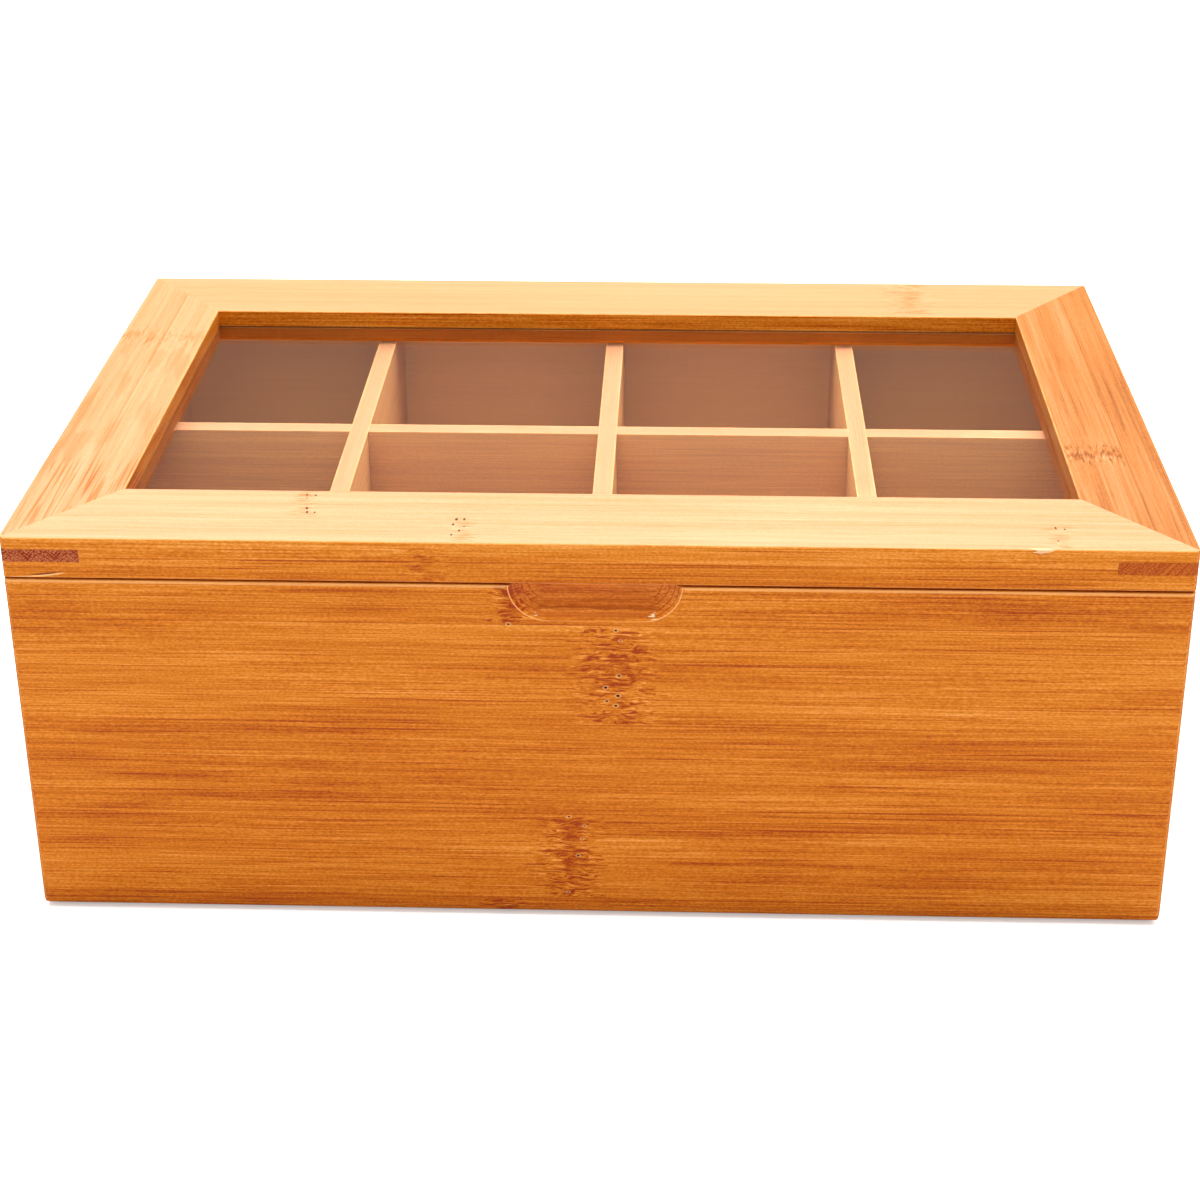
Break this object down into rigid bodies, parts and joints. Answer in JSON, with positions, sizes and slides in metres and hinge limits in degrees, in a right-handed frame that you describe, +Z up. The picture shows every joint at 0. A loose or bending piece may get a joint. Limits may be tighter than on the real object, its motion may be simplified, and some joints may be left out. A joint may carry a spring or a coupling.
{
  "type": "tea bag organizer box",
  "caption": "Bamboo storage box for tea bags with a hinged, spline-jointed lid, a clear window, a finger scoop and divided compartments.",
  "frame": {"origin": "centre of the box's underside, on the table", "axes": "+X to the right along the long front, +Y from the front with the finger scoop towards the hinged back, +Z up"},
  "size_m": [0.314, 0.195, 0.1175],
  "materials": {
    "bamboo": "satin lacquered carbonised bamboo, long grain along each board",
    "lid_bamboo": "satin lacquered bamboo, lighter, long grain along each rail",
    "pale_bamboo": "fine sanded natural bamboo, matt lacquer",
    "spline_bamboo": "bamboo end grain, dark, satin",
    "brass": "lacquered brass plate, softly brushed",
    "acrylic": "clear cast acrylic sheet"
  },
  "bodies": {
    "box": {"front_panel": "bamboo", "back_panel": "bamboo", "left_panel": "bamboo", "right_panel": "bamboo", "bottom_panel": "pale_bamboo", "long_divider": "pale_bamboo", "cross_divider_left": "pale_bamboo", "cross_divider_center": "pale_bamboo", "cross_divider_right": "pale_bamboo", "left_hinge_body_leaf": "brass", "right_hinge_body_leaf": "brass", "left_hinge_pin": "brass", "right_hinge_pin": "brass", "body_hinge_screws": "brass"},
    "lid": {"lid_front_rail": "lid_bamboo", "lid_back_rail": "lid_bamboo", "lid_left_rail": "lid_bamboo", "lid_right_rail": "lid_bamboo", "front_left_spline": "spline_bamboo", "front_right_spline": "spline_bamboo", "back_left_spline": "spline_bamboo", "back_right_spline": "spline_bamboo", "window_pane": "acrylic", "left_hinge_lid_leaf": "brass", "right_hinge_lid_leaf": "brass", "lid_hinge_screws": "brass"}
  },
  "joints": [
    {"name": "lid_hinge", "type": "hinge", "parent": "box", "child": "lid", "pos_m": [0, 0.09525, 0.10525], "axis": [-1, 0, 0], "range_deg": [0, 100]}
  ]
}
